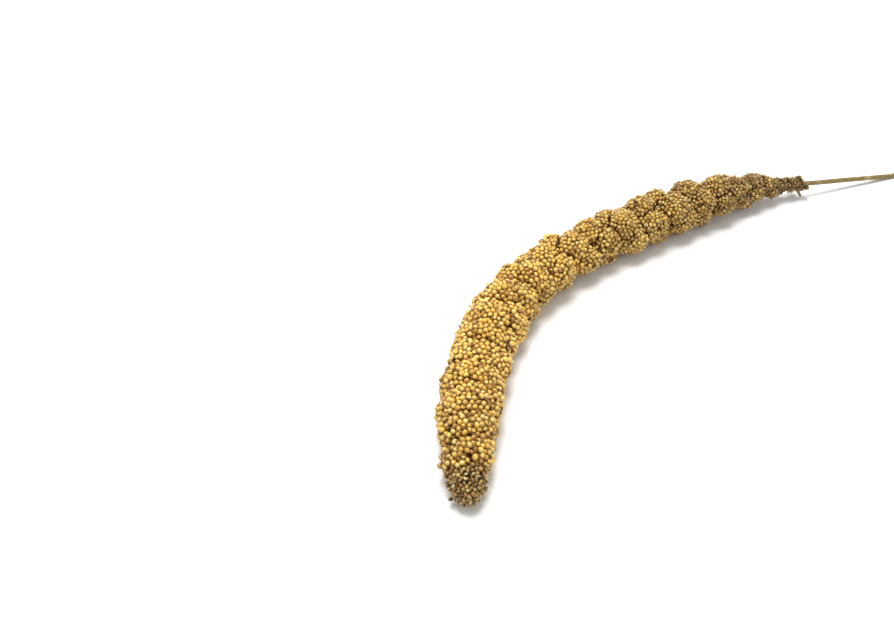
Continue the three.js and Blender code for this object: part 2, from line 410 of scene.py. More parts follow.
@dataclass(frozen=True)
class Course:
    """The axis of the stem and rachis, from the cut end to the tip."""

    head_length: float = 213 * MM
    stem_length: float = 52 * MM
    stem_end: Range = (120.07 * MM, -23.12 * MM)
    foot_heading: float = math.radians(-26.04)
    stem_turn: float = math.radians(3.2)
    stem_turn_length: float = 10 * MM
    head_turn: float = math.radians(86.1)
    turn_power: float = 1.71
    sway: float = math.radians(3.88)
    sway_start: float = math.radians(-47.5)
    sway_length: float = 112 * MM
    step: float = 0.5 * MM
    overrun: float = 10 * MM
    height: float = 8.4 * MM
    stem_drop: float = 7.49 * MM
    stem_drop_from: float = 40 * MM
    stem_drop_to: float = -40 * MM
    stem_drop_power: float = 1.3
    tip_drop: float = 5.3 * MM
    tip_drop_from: float = 177 * MM
    plan: np.ndarray = field(init=False, repr=False)

    def __post_init__(self) -> None:
        """Traces the plan of the axis in short steps."""
        steps = round((self.head_length + self.stem_length + self.overrun) / self.step)
        points = [np.array(self.stem_end)]
        for i in range(steps):
            angle = self.heading((i + 0.5) * self.step - self.stem_length)
            points.append(points[-1] - self.step * np.array([math.cos(angle), math.sin(angle)]))
        object.__setattr__(self, "plan", np.array(points))

    def heading(self, place: float) -> float:
        """Gives the direction of growth in plan at a place along the axis."""
        if place < 0:
            share = smoothstep(-place, 0.0, self.stem_turn_length)
            return self.foot_heading + self.stem_turn * share
        wave = self.sway_start + 2 * math.pi * place / self.sway_length
        sway = self.sway * (math.sin(wave) - math.sin(self.sway_start))
        share = (place / self.head_length) ** self.turn_power
        return self.foot_heading + self.head_turn * share + sway

    def point(self, place: float) -> np.ndarray:
        """Finds the axis at a place.

        Args:
            place: Distance along the axis from the foot of the head.

        Returns:
            The point.
        """
        steps = min(max((place + self.stem_length) / self.step, 0.0), len(self.plan) - 1.01)
        whole = int(steps)
        flat = self.plan[whole] + (self.plan[whole + 1] - self.plan[whole]) * (steps - whole)
        stem = (self.stem_drop_from - place) / (self.stem_drop_from - self.stem_drop_to)
        tip = (place - self.tip_drop_from) / (self.head_length - self.tip_drop_from)
        drop = self.stem_drop * min(max(0.0, stem), 1.0) ** self.stem_drop_power
        return np.array([flat[0], flat[1], self.height - drop - self.tip_drop * max(0.0, tip) ** 2])

    def directions(self, place: float) -> tuple[np.ndarray, np.ndarray, np.ndarray]:
        """Gives the directions along the axis, to the side and up.

        Args:
            place: Distance along the axis from the foot of the head.

        Returns:
            Three unit vectors.
        """
        along = unit(self.point(place + MM) - self.point(place - MM))
        side = unit(np.cross([0.0, 0.0, 1.0], along))
        return along, side, np.cross(along, side)


@dataclass
class Lobe:
    """One side branch's lobe: an ellipsoid that grains cover."""

    whorl: int
    number: int
    place: float
    centre: np.ndarray
    axes: np.ndarray
    sizes: np.ndarray

    def world(self, spots: np.ndarray) -> np.ndarray:
        """Turns directions of a unit ball into points on the lobe."""
        return self.centre + (spots * self.sizes) @ self.axes

    def local(self, points: np.ndarray) -> np.ndarray:
        """Turns points into places in a unit ball that stands for the lobe."""
        return ((points - self.centre) @ self.axes.T) / self.sizes

    def normal(self, points: np.ndarray) -> np.ndarray:
        """Gives the outward directions at points on the lobe."""
        return unit((self.local(points) / self.sizes) @ self.axes)


@dataclass
class Spiral:
    """The spiral of lobes round the rachis."""

    course: Course
    lower_radius: float = 8.8 * MM
    upper_radius: float = 9.45 * MM
    upper_from: float = 106 * MM
    upper_to: float = 148 * MM
    merging_from: float = 118 * MM
    merging_to: float = 175 * MM
    neck_share: float = 0.12
    neck_length: float = 66 * MM
    tip_length: float = 36 * MM
    tip_rounding: float = 0.5
    first: float = 2 * MM
    last: float = 204 * MM
    stunted_radius: float = 2.5 * MM
    stunted_to: float = 13 * MM
    lower_pitch: float = 13 * MM
    upper_pitch: float = 9.2 * MM
    pitch_power: float = 0.75
    smallest_taper: float = 0.3
    spacing: float = 0.86
    fewest: int = 3
    spare: float = 0.62
    depth: Range = (0.5, 0.62)
    least_depth: float = 3.6 * MM
    lean: Range = (0.42, 0.2)
    width: Range = (0.43, 0.72)
    length: Range = (0.5, 0.78)
    scatter: Triple = (0.1, 0.16, 0.08)
    end_depth: float = 7.5 * MM
    end_width: float = 5.4 * MM

    def taper(self, place: float) -> float:
        """Gives the share of the full radius that the neck and the tip leave."""
        neck = min(max(place / self.neck_length, 0.0), 1.0)
        start = self.course.head_length - self.tip_length
        tip = min(max((place - start) / self.tip_length, 0.0), 1.0)
        return (1 - (1 - self.neck_share) * (1 - neck) ** 2) * (1 - tip**2) ** self.tip_rounding

    def upper(self, place: float) -> float:
        """Tells how far a place is from the lower half to the upper half."""
        return smoothstep(place, self.upper_from, self.upper_to)

    def merging(self, place: float) -> float:
        """Tells how far a place is from single knobs to lobes that merge."""
        return smoothstep(place, self.merging_from, self.merging_to)

    def radius(self, place: float) -> float:
        """Gives the distance from the axis to the grains' outer ends."""
        if place < self.stunted_to:
            return self.stunted_radius
        return lerp(self.lower_radius, self.upper_radius, self.upper(place)) * self.taper(place)

    def pitch(self, place: float) -> float:
        """Gives the distance from a lobe to its neighbours."""
        full = lerp(self.lower_pitch, self.upper_pitch, self.merging(place))
        return full * max(self.smallest_taper, self.taper(place)) ** self.pitch_power

    def lobe(
        self, whorl: int, number: int, place: float, turn: float, pitch: float, radius: float
    ) -> Lobe:
        """Makes one lobe, which leans towards the tip.

        Args:
            whorl: The turn of the spiral that it belongs to.
            number: Its own number.
            place: Where it is along the axis.
            turn: Its angle round the axis.
            pitch: Its distance from its neighbours.
            radius: Distance from the axis to its outer end.

        Returns:
            The lobe.
        """
        share = self.merging(place)
        along, side, up = self.course.directions(place)
        end = self.course.point(place) + radius * (math.cos(turn) * side + math.sin(turn) * up)
        axis = unit(end - self.course.point(place - lerp(*self.lean, share) * radius))
        across = unit(np.cross(along, axis))
        least = min(self.depth[1] * radius, self.least_depth)
        depth = max(lerp(*self.depth, share) * min(pitch, radius), least)
        width, length = pitch * lerp(*self.width, share), pitch * lerp(*self.length, share)
        sizes = np.array([width, length, depth])
        axes = np.array([across, np.cross(axis, across), axis])
        return Lobe(whorl, number, place, end - axis * depth, axes, sizes)

    def lobes(self) -> list[Lobe]:
        """Lays out all lobes from the foot of the head to its tip.

        Returns:
            The lobes in order.
        """
        made: list[Lobe] = []
        whorl, turn, place = 0, 0.0, self.first
        while place < self.last:
            pitch = self.pitch(place)
            fit = 2 * math.pi * self.radius(place) / pitch - self.spare
            count = max(self.fewest, math.floor(fit + 0.5))
            step = 1 / (count + 0.5)
            for _ in range(count):
                number = len(made)
                spot = place + self.scatter[0] * pitch * draw(number, Aspect.PLACE)
                stray = self.scatter[1] * step * draw(number, Aspect.TURN)
                angle = 2 * math.pi * (turn + stray)
                radius = self.radius(place) * (1 + self.scatter[2] * draw(number, Aspect.RADIUS))
                made.append(self.lobe(whorl, number, spot, angle, pitch, radius))
                turn += step
                place += self.spacing * pitch * step
            whorl += 1
        tip = self.course.head_length - self.end_depth
        along, side, up = self.course.directions(tip)
        sizes = np.array([self.end_width, self.end_width, self.end_depth])
        axes = np.array([side, up, along])
        made.append(Lobe(whorl - 1, len(made), tip, self.course.point(tip), axes, sizes))
        return made


@dataclass
class GrainField:
    """Spreads grains evenly over the open sides of all lobes."""

    lobes: list[Lobe]
    lower_spacing: float = 1.58 * MM
    upper_spacing: float = 1.88 * MM
    stunted_spacing: float = 1.25 * MM
    tip_spacing: float = 1.4 * MM
    spacing_range: Range = (60 * MM, 150 * MM)
    stunted_to: float = 13 * MM
    tip_from: float = 204 * MM
    floor: float = 0.1 * MM
    under_floor: float = -0.7 * MM
    lowest_level: float = -0.35
    fewest: int = 6
    rounds: int = 16
    last_rounds: int = 4
    push: Range = (0.5, 0.25)
    push_reach: float = 1.12
    closest: float = 0.7
    open_depths: Triple = (0.94, 0.97, 0.92)
    fill_rooms: Triple = (0.86, 0.8, 0.64)
    fill_crowd: float = 5.0
    near: list[list[int]] = field(init=False)
    points: list[np.ndarray] = field(init=False)

    def __post_init__(self) -> None:
        """Finds each lobe's neighbours and plants the grains."""
        self.near = [
            [j for j, other in enumerate(self.lobes) if j != i and self._meets(lobe, other)]
            for i, lobe in enumerate(self.lobes)
        ]
        self.points = [self._seeded(i, 1.0) for i in range(len(self.lobes))]
        for _ in range(self.rounds):
            self._relax(self.push[0])
        self._drop_hidden(self.open_depths[1])
        self._fill(self.fill_rooms[0])
        for _ in range(self.last_rounds):
            self._relax(self.push[1])
        self._drop_hidden(self.open_depths[2])
        for room in self.fill_rooms[1:]:
            self._fill(room)

    @staticmethod
    def _meets(lobe: Lobe, other: Lobe) -> bool:
        """Tells whether two lobes are near each other."""
        reach = lobe.sizes.max() + other.sizes.max() + MM
        return bool(np.linalg.norm(lobe.centre - other.centre) < reach)

    def pitch(self, lobe: Lobe) -> float:
        """Gives the distance between grains on a lobe."""
        if lobe.place < self.stunted_to:
            return self.stunted_spacing
        if lobe.place > self.tip_from:
            return self.tip_spacing
        share = smoothstep(lobe.place, *self.spacing_range)
        return lerp(self.lower_spacing, self.upper_spacing, share)

    def _seeded(self, index: int, crowd: float, phase: float = 0.0) -> np.ndarray:
        """Lays grains on a lobe in a spiral from its outer end.

        Args:
            index: The lobe.
            crowd: How many times the usual number.
            phase: Turn of the spiral.

        Returns:
            The points that no other lobe hides.
        """
        lobe = self.lobes[index]
        a, b, c = lobe.sizes
        mean = ((a * b) ** AREA_POWER + (a * c) ** AREA_POWER + (b * c) ** AREA_POWER) / 3
        area = 4 * math.pi * mean ** (1 / AREA_POWER)
        share = (1 - self.lowest_level) / 2
        fit = crowd * share * area / (HEXAGON_SHARE * self.pitch(lobe) ** 2)
        count = max(self.fewest, round(fit))
        order = np.arange(count)
        level = 1 - (order + 0.5) / count * (1 - self.lowest_level)
        turn = order * GOLDEN_ANGLE + lobe.number + phase
        ring = np.sqrt(1 - level**2)
        points = lobe.world(np.stack([ring * np.cos(turn), ring * np.sin(turn), level], axis=1))
        points = points[points[:, 2] > self.under_floor]
        return self._raised(points[self._open(index, points, self.open_depths[0])])

    def _raised(self, points: np.ndarray) -> np.ndarray:
        """Lifts points that lie too low onto the surface below the head."""
        return np.concatenate([points[:, :2], np.maximum(points[:, 2:], self.floor)], axis=1)

    def _open(self, index: int, points: np.ndarray, depth: float) -> np.ndarray:
        """Finds the points that lie outside the other lobes.

        Args:
            index: The lobe that the points are on.
            points: The points.
            depth: How deep in another lobe still counts as open; 1 is its skin.

        Returns:
            One truth value for each point.
        """
        seen = np.ones(len(points), dtype=bool)
        for j in self.near[index]:
            seen &= np.linalg.norm(self.lobes[j].local(points), axis=1) > depth
        return seen

    def _around(self, index: int) -> np.ndarray:
        """Gathers the grains of a lobe and its neighbours."""
        return np.concatenate([self.points[index]] + [self.points[j] for j in self.near[index]])

    def _gaps(self, index: int) -> np.ndarray:
        """Measures from each grain of a lobe to all those around it."""
        apart = self.points[index][:, None, :] - self._around(index)[None, :, :]
        return np.linalg.norm(apart, axis=2)

    def _relax(self, strength: float) -> None:
        """Pushes grains apart along their lobes.

        Args:
            strength: Share of each overlap that is taken out.
        """
        moved = []
        for i, lobe in enumerate(self.lobes):
            own = self.points[i]
            if not len(own):
                moved.append(own)
                continue
            apart = own[:, None, :] - self._around(i)[None, :, :]
            gap = np.linalg.norm(apart, axis=2)
            push = np.clip(self.push_reach * self.pitch(lobe) - gap, 0, None)
            push[gap < 1e-9] = 0
            shift = (apart / np.maximum(gap, 1e-9)[:, :, None] * push[:, :, None]).sum(axis=1)
            moved.append(self._raised(lobe.world(unit(lobe.local(own + strength * 0.5 * shift)))))
        self.points = moved

    def _drop_hidden(self, depth: float) -> None:
        """Takes away grains that other lobes hide or that sit on each other.

        Args:
            depth: How deep in another lobe still counts as open; 1 is its skin.
        """
        for i, lobe in enumerate(self.lobes):
            own = self.points[i]
            own = own[self._open(i, own, depth)]
            self.points[i] = own
            if not len(own):
                continue
            gap = self._gaps(i)
            close = gap < self.closest * self.pitch(lobe)
            order = np.arange(gap.shape[1])[None, :]
            earlier = order < np.arange(len(own))[:, None]
            other = order >= len(own)
            self.points[i] = own[~(close & (earlier | other)).any(axis=1)]

    def _fill(self, room: float) -> None:
        """Adds grains where there is room for one more.

        Args:
            room: Share of the usual distance that a new grain needs.
        """
        for i, lobe in enumerate(self.lobes):
            least = room * self.pitch(lobe)
            for spot in self._seeded(i, self.fill_crowd):
                around = self._around(i)
                if not len(around) or np.linalg.norm(around - spot, axis=1).min() > least:
                    self.points[i] = np.concatenate([self.points[i], spot[None, :]])

    def inner(self, index: int, sink: float) -> np.ndarray:
        """Lays a second layer of grains under the first.

        Args:
            index: The lobe.
            sink: How far below the first layer.

        Returns:
            The points of the second layer.
        """
        points = self._seeded(index, 1.0, 2.0)
        return points - sink * self.lobes[index].normal(points)

    def room(self, index: int) -> np.ndarray:
        """Measures the room of each grain on a lobe.

        Args:
            index: The lobe.

        Returns:
            Mean distance to the three nearest grains.
        """
        return np.sort(self._gaps(index), axis=1)[:, 1:4].mean(axis=1)


@dataclass
class Spots:
    """Points to plant on, with what each needs."""

    places: list[np.ndarray] = field(default_factory=list)
    axes: list[np.ndarray] = field(default_factory=list)
    sizes: list[Triple] = field(default_factory=list)
    tints: list[float] = field(default_factory=list)
    ripes: list[float] = field(default_factory=list)

    def add(
        self,
        place: np.ndarray,
        axis: np.ndarray,
        size: Triple,
        tint: float = 0.5,
        ripe: float = 0.5,
    ) -> None:
        """Adds a point.

        Args:
            place: Where the shape's middle or root goes.
            axis: Where its length points, or three rows for all its axes.
            size: Its width, thickness and length.
            tint: Its own shade, from 0 to 1.
            ripe: How golden it is, from 0 to 1.
        """
        self.places.append(place)
        self.axes.append(axis)
        self.sizes.append(size)
        self.tints.append(tint)
        self.ripes.append(ripe)

    def turns(self) -> np.ndarray:
        """Gives each point's turn as three angles.

        Returns:
            One row of angles for each point.
        """
        rows = []
        for axis in self.axes:
            if axis.ndim == 2:
                rows.append(tuple(Matrix(axis.tolist()).transposed().to_euler()))
            else:
                rows.append(tuple(Vector(axis).to_track_quat("Z", "Y").to_euler()))
        return np.array(rows)

    def mesh(self, name: str) -> bpy.types.Mesh:
        """Makes a mesh of bare points with the values stored on them.

        Args:
            name: The mesh's name.

        Returns:
            The mesh.
        """
        mesh = bpy.data.meshes.new(name)
        mesh.from_pydata([tuple(p) for p in self.places], [], [])
        across = self.across()
        order = np.arange(len(self.places))
        cells = np.stack([order % across, order // across, 0 * order], axis=1) / across
        vectors = {"turn": self.turns(), "size": np.array(self.sizes), "cell": cells}
        for label, rows in vectors.items():
            layer = mesh.attributes.new(label, "FLOAT_VECTOR", "POINT")
            layer.data.foreach_set("vector", rows.ravel())
        for label, row in {"tint": self.tints, "ripe": self.ripes}.items():
            layer = mesh.attributes.new(label, "FLOAT", "POINT")
            layer.data.foreach_set("value", np.array(row))
        return mesh

    def across(self) -> int:
        """Tells how many cells the flat map has side by side."""
        return max(1, math.ceil(math.sqrt(len(self.places))))


@dataclass
class Planting:
    """A node tree that sets a small shape on every point and makes one mesh of them."""

    name: str
    inputs: dict[str, float] = field(default_factory=dict)
    group: bpy.types.NodeTree = field(init=False, repr=False)

    def __post_init__(self) -> None:
        """Builds the tree once for all its pieces."""
        self.group = self.tree()

    def shape(self, nodes: Nodes, sizes: dict[str, Wire]) -> tuple[Wire, Wire]:
        """Makes the shape; each planting has its own.

        Args:
            nodes: The tree's nodes.
            sizes: The tree's named inputs.

        Returns:
            The shape, one unit long, and its own flat map.
        """
        raise NotImplementedError

    def tree(self) -> bpy.types.NodeTree:
        """Builds the tree.

        Returns:
            The tree, with named inputs for its sizes.
        """
        tree = bpy.data.node_groups.new(self.name, "GeometryNodeTree")
        face = tree.interface
        face.new_socket("Points", in_out="INPUT", socket_type="NodeSocketGeometry")
        for name in ("Size spread", "Tilt", "Spin", "Cell", *self.inputs):
            face.new_socket(name, in_out="INPUT", socket_type="NodeSocketFloat")
        face.new_socket("Seed", in_out="INPUT", socket_type="NodeSocketInt")
        face.new_socket("Finish", in_out="INPUT", socket_type="NodeSocketMaterial")
        face.new_socket("Pieces", in_out="OUTPUT", socket_type="NodeSocketGeometry")
        nodes = Nodes(tree)
        start = tree.nodes.new("NodeGroupInput")
        given = {s.name: Wire(tree, s) for s in start.outputs if s.name}
        shape, flat = self.shape(nodes, given)
        shape = self._store(nodes, shape, "own_map", flat, "FLOAT2", "CORNER")
        planted = self._plant(nodes, given, shape)
        cell = self._stored(nodes, "cell", "FLOAT_VECTOR")
        own = self._stored(nodes, "own_map", "FLOAT_VECTOR")
        values = {0: own, 1: (CELL_FILL,) * 3, 2: ((1 - CELL_FILL) / 2,) * 3}
        inset = nodes.add("ShaderNodeVectorMath", {"operation": "MULTIPLY_ADD"}, values)
        values = {0: cell, 1: nodes.scaled(inset, given["Cell"])}
        place = nodes.add("ShaderNodeVectorMath", {"operation": "ADD"}, values)
        made = self._store(nodes, planted, "OFBake", place, "FLOAT2", "CORNER")
        for name in ("own_map", "cell", "turn", "size"):
            values = {"Geometry": made, "Name": name}
            made = nodes.add("GeometryNodeRemoveAttribute", {}, values)
        values = {"Geometry": made, "Material": given["Finish"]}
        made = nodes.add("GeometryNodeSetMaterial", {}, values)
        end = tree.nodes.new("NodeGroupOutput")
        tree.links.new(made.socket, end.inputs[0])
        return tree

    def grow(
        self, name: str, spots: Spots, finish: bpy.types.Material, sizes: dict[str, float]
    ) -> bpy.types.Object:
        """Plants the shape on points and makes a plain mesh of the result.

        Args:
            name: The piece's name.
            spots: The points.
            finish: The material.
            sizes: Scatter and seed.

        Returns:
            The piece, at the origin.
        """
        piece = bpy.data.objects.new(name, spots.mesh(name))
        bpy.context.scene.collection.objects.link(piece)
        modifier = piece.modifiers.new(self.name, "NODES")
        modifier.node_group = self.group
        values = {"Cell": 1 / spots.across(), "Finish": finish, **self.inputs, **sizes}
        for item in self.group.interface.items_tree:
            if item.in_out == "INPUT" and item.name in values:
                modifier[item.identifier] = values[item.name]
        shown = piece.evaluated_get(bpy.context.evaluated_depsgraph_get())
        mesh = bpy.data.meshes.new_from_object(shown)
        mesh.name = name
        piece.modifiers.clear()
        piece.data = mesh
        return piece

    @staticmethod
    def _stored(nodes: Nodes, name: str, kind: str) -> Wire:
        """Reads a stored value of each point."""
        settings = {"data_type": kind}
        return nodes.add("GeometryNodeInputNamedAttribute", settings, {"Name": name}, "Attribute")

    @staticmethod
    def _store(
        nodes: Nodes, geometry: Wire, name: str, value: Wire, kind: str, domain: str
    ) -> Wire:
        """Stores a value on the geometry.

        Args:
            nodes: The tree's nodes.
            geometry: What it is stored on.
            name: The name to read it by.
            value: The value.
            kind: Its data type.
            domain: What part of the mesh has one each.

        Returns:
            The geometry with the value.
        """
        settings = {"data_type": kind, "domain": domain}
        values = {"Geometry": geometry, "Name": name, "Value": value}
        return nodes.add("GeometryNodeStoreNamedAttribute", settings, values)

    @staticmethod
    def _ball(nodes: Nodes, segments: int, rings: int, radius: float) -> tuple[Wire, Wire]:
        """Makes a ball.

        Args:
            nodes: The tree's nodes.
            segments: Faces round it.
            rings: Faces from pole to pole.
            radius: Its radius.

        Returns:
            The ball and its flat map.
        """
        values = {"Segments": segments, "Rings": rings, "Radius": radius}
        ball = nodes.add("GeometryNodeMeshUVSphere", {}, values, "Mesh")
        return ball, Wire(nodes.tree, ball.socket.node.outputs["UV Map"])

    @staticmethod
    def _position(nodes: Nodes) -> list[Wire]:
        """Reads the place of each point of the shape.

        Args:
            nodes: The tree's nodes.

        Returns:
            Its three coordinates.
        """
        place = nodes.add("GeometryNodeInputPosition", {}, {})
        split = nodes.add("ShaderNodeSeparateXYZ", {}, {0: place})
        return [Wire(nodes.tree, socket) for socket in split.socket.node.outputs]

    def _plant(self, nodes: Nodes, given: dict[str, Wire], shape: Wire) -> Wire:
        """Sets the shape on every point with a little scatter.

        Args:
            nodes: The tree's nodes.
            given: The tree's inputs.
            shape: The shape to plant.

        Returns:
            One realized mesh.
        """
        turn = self._stored(nodes, "turn", "FLOAT_VECTOR")
        turn = nodes.add("FunctionNodeEulerToRotation", {}, {0: turn})
        lean = nodes.combined(given["Tilt"], given["Tilt"], given["Spin"])
        values = {"Min": nodes.scaled(lean, -1.0), "Max": lean, "Seed": given["Seed"]}
        stray = nodes.add("FunctionNodeRandomValue", {"data_type": "FLOAT_VECTOR"}, values, "Value")
        stray = nodes.add("FunctionNodeEulerToRotation", {}, {0: stray})
        settings = {"rotation_space": "LOCAL"}
        turn = nodes.add("FunctionNodeRotateRotation", settings, {0: turn, 1: stray})
        low, high = 1 - given["Size spread"], 1 + given["Size spread"]
        values = {"Min": low, "Max": high, "Seed": given["Seed"] + 1}
        grow = nodes.add("FunctionNodeRandomValue", {"data_type": "FLOAT"}, values, "Value")
        size = nodes.scaled(self._stored(nodes, "size", "FLOAT_VECTOR"), grow)
        values = {"Points": given["Points"], "Instance": shape, "Rotation": turn, "Scale": size}
        planted = nodes.add("GeometryNodeInstanceOnPoints", {}, values)
        return nodes.add("GeometryNodeRealizeInstances", {}, {"Geometry": planted})


@dataclass
class GrainPlanting(Planting):
    """Plants egg-shaped grains with a drawn-out tip."""

    segments: int = 8
    rings: int = 6

    def shape(self, nodes: Nodes, sizes: dict[str, Wire]) -> tuple[Wire, Wire]:
        """Makes an egg, one unit wide and long, with its tip up.

        Args:
            nodes: The tree's nodes.
            sizes: The tree's named inputs.

        Returns:
            The egg and its flat map.
        """
        ball, flat = self._ball(nodes, self.segments, self.rings, 0.5)
        x, y, z = self._position(nodes)
        waist = 1 - sizes["Point"] * (2 * z).at_least(0) ** 2
        pulled = nodes.combined(x * waist, y * waist * sizes["Flatness"], z)
        ball = self._store(nodes, ball, "along", z + 0.5, "FLOAT", "POINT")
        values = {"Geometry": ball, "Position": pulled}
        ball = nodes.add("GeometryNodeSetPosition", {}, values)
        return nodes.add("GeometryNodeSetShadeSmooth", {}, {"Geometry": ball}), flat


@dataclass
class BedPlanting(Planting):
    """Plants the rounded bodies that the grains are rooted in."""

    segments: int = 14
    rings: int = 9

    def shape(self, nodes: Nodes, sizes: dict[str, Wire]) -> tuple[Wire, Wire]:
        """Makes a ball of radius 1; it has no named inputs."""
        ball, flat = self._ball(nodes, self.segments, self.rings, 1.0)
        return nodes.add("GeometryNodeSetShadeSmooth", {}, {"Geometry": ball}), flat


@dataclass
class FlakePlanting(Planting):
    """Plants thin curled husk flakes."""

    segments: int = 8
    rings: int = 5
    width: float = 0.6
    root: float = 0.4

    def shape(self, nodes: Nodes, sizes: dict[str, Wire]) -> tuple[Wire, Wire]:
        """Makes a thin curled leaf shape, one unit long.

        Args:
            nodes: The tree's nodes.
            sizes: The tree's named inputs.

        Returns:
            The flake and its flat map.
        """
        ball, flat = self._ball(nodes, self.segments, self.rings, 0.5)
        x, y, z = self._position(nodes)
        curled = y * sizes["Thickness"] + sizes["Curl"] * (x * x * 2 + z * z)
        leaf = nodes.combined(x * self.width, curled, z + self.root)
        ball = nodes.add("GeometryNodeSetPosition", {}, {"Geometry": ball, "Position": leaf})
        return nodes.add("GeometryNodeSetShadeSmooth", {}, {"Geometry": ball}), flat


@dataclass
class BristlePlanting(Planting):
    """Plants fine bent bristles."""

    steps: int = 4
    sides: int = 4
    straight: float = 0.55
    taper: float = 0.8

    def shape(self, nodes: Nodes, sizes: dict[str, Wire]) -> tuple[Wire, Wire]:
        """Makes a bent, tapering hair, one unit long.

        Args:
            nodes: The tree's nodes.
            sizes: The tree's named inputs.

        Returns:
            The hair and its flat map.
        """
        values = {
            "Resolution": self.steps,
            "Start": (0.0, 0.0, 0.0),
            "Middle": (0.0, 0.0, self.straight),
            "End": nodes.combined(sizes["Bend"], 0.0, 1.0),
        }
        path = nodes.add("GeometryNodeCurveQuadraticBezier", {}, values)
        share = nodes.add("GeometryNodeSplineParameter", {}, {}, "Factor")
        path = self._store(nodes, path, "along", share, "FLOAT", "POINT")
        values = {"Curve": path, "Radius": 1 - self.taper * share}
        path = nodes.add("GeometryNodeSetCurveRadius", {}, values)
        values = {"Resolution": self.sides, "Radius": sizes["Thickness"]}
        ring = nodes.add("GeometryNodeCurvePrimitiveCircle", {}, values)
        share = nodes.add("GeometryNodeSplineParameter", {}, {}, "Factor")
        ring = self._store(nodes, ring, "around", share, "FLOAT", "POINT")
        values = {"Curve": path, "Profile Curve": ring, "Fill Caps": True}
        hair = nodes.add("GeometryNodeCurveToMesh", {}, values)
        around = self._stored(nodes, "around", "FLOAT")
        return hair, nodes.combined(around, self._stored(nodes, "along", "FLOAT"), 0.0)


def report(piece: bpy.types.Object) -> None:
    """Logs a piece's name and size."""
    count = sum(len(p.vertices) - 2 for p in piece.data.polygons)
    LOG.info("%s: %d triangles", piece.name, count)


@dataclass
class Straw:
    """The stem, cut at one end, and the rachis that runs on from it."""

    course: Course
    radius: float = 0.9 * MM
    end_radius: float = 0.5 * MM
    end: float = 203 * MM
    sides: int = 20
    rings: int = 150
    ridges: int = 7
    ridge_height: float = 0.035
    ridge_twist: float = 40.0
    slant: float = 0.8
    rim_depth: float = 0.04 * MM
    rim_share: float = 0.97
    finish: StrawFinish = StrawFinish("straw", roughness=0.48, relief=0.25, turn=math.radians(27))

    def thickness(self, place: float) -> float:
        """Gives the straw's radius at a place."""
        return lerp(self.radius, self.end_radius, min(max(place / self.end, 0.0), 1.0))

    def build(self) -> bpy.types.Object:
        """Makes the straw as rings along the course, closed at both ends.

        Returns:
            The piece.
        """
        start = -self.course.stem_length
        places = [start, *np.linspace(start + self.rim_depth, self.end, self.rings)]
        turns = np.arange(self.sides) / self.sides * 2 * math.pi
        points, cut = [], []
        for number, place in enumerate(places):
            size = self.thickness(place) * (self.rim_share if number == 0 else 1.0)
            for turn in turns:
                wave = math.sin(self.ridges * turn + self.ridge_twist * place)
                ridge = 1 + self.ridge_height * wave
                spot = place
                if number < 2:
                    spot += self.slant * size * (1 + math.sin(turn))
                _, side, up = self.course.directions(max(spot, start + MM))
                round_it = math.cos(turn) * side + math.sin(turn) * up
                points.append(self.course.point(spot) + size * ridge * round_it)
                cut.append(1.0 if number == 0 else 0.0)
        loops = [range(i * self.sides, (i + 1) * self.sides) for i in range(len(places))]
        faces = [tuple(reversed(loops[0])), tuple(loops[-1])]
        for low, high in zip(loops, loops[1:]):
            for i in range(self.sides):
                j = (i + 1) % self.sides
                faces.append((low[i], low[j], high[j], high[i]))
        mesh = bpy.data.meshes.new("straw")
        mesh.from_pydata([tuple(p) for p in points], [], faces)
        mesh.polygons.foreach_set("use_smooth", [False] * 2 + [True] * (len(faces) - 2))
        mesh.attributes.new("cut", "FLOAT", "POINT").data.foreach_set("value", cut)
        piece = bpy.data.objects.new("straw", mesh)
        bpy.context.scene.collection.objects.link(piece)
        return piece

    def dress(self, piece: bpy.types.Object) -> None:
        """Gives the straw its finish and its place in the frame."""
        piece.data.materials.append(self.finish.material())
        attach(piece, BODY)
        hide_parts("stem")
        report(piece)


@dataclass(frozen=True)
class GrainHabit:
    """How the grains of the outer layer vary in size, set and tint."""

    room_share: float = 1.08
    width: Range = (0.66, 1.16)
    worn_width: float = 0.25
    length: Range = (1.04, 1.26)
    girth: Range = (0.94, 1.1)
    thickness: Range = (0.82, 1.0)
    sink: float = 0.5
    stand_out: float = 0.15 * MM
    unevenness: float = 0.26 * MM
    lean: float = 0.25
    stray: float = 0.15
    missing: float = 0.01
    worn_missing: float = 0.25
    tint: float = 0.5
    tint_spread: float = 0.26
    worn_tint: float = 0.12
    foot_tint: float = 0.07
    ripe_spread: float = 0.15
    lobe_spread: float = 0.1


@dataclass(frozen=True)
class InnerHabit:
    """How the grains of the second layer vary; their tints are kept low as painted shade."""

    sink: float = 1.1 * MM
    width: Range = (0.9, 1.1)
    length: float = 1.1
    stray: float = 0.2
    # Low tints: the second layer is painted darker, as painted shade under the first.
    tints: Range = (0.1, 0.6)
    ripe_spread: float = 0.1


@dataclass(frozen=True)
class ChaffHabit:
    """How many bristles or flakes grow beside the grains; lengths in millimetres."""

    share: float
    worn_share: float
    shortest: float
    longest: float
    sink: float
    stray: float
    tints: Range
    worn_longer: float = 0.0
    lean: float = 0.0

    def share_at(self, worn: float) -> float:
        """Gives the share of grains that have one."""
        return self.share + self.worn_share * worn

    def reach(self, chance: np.random.Generator, worn: float) -> float:
        """Draws the length of one."""
        return chance.uniform(self.shortest, self.longest + self.worn_longer * worn) * MM


@dataclass(frozen=True)
class StubHabit:
    """The hooked little branch of husks under the foot of the head."""

    place: float = 2.6 * MM
    length: float = 4.6 * MM
    husks: int = 7
    hook: float = 0.35
    sideways: float = 0.57
    down: float = 0.82
    widths: Range = (1.5, 1.0)
    husk_length: float = 1.4
    tint: float = 0.5
    tint_spread: float = 0.3


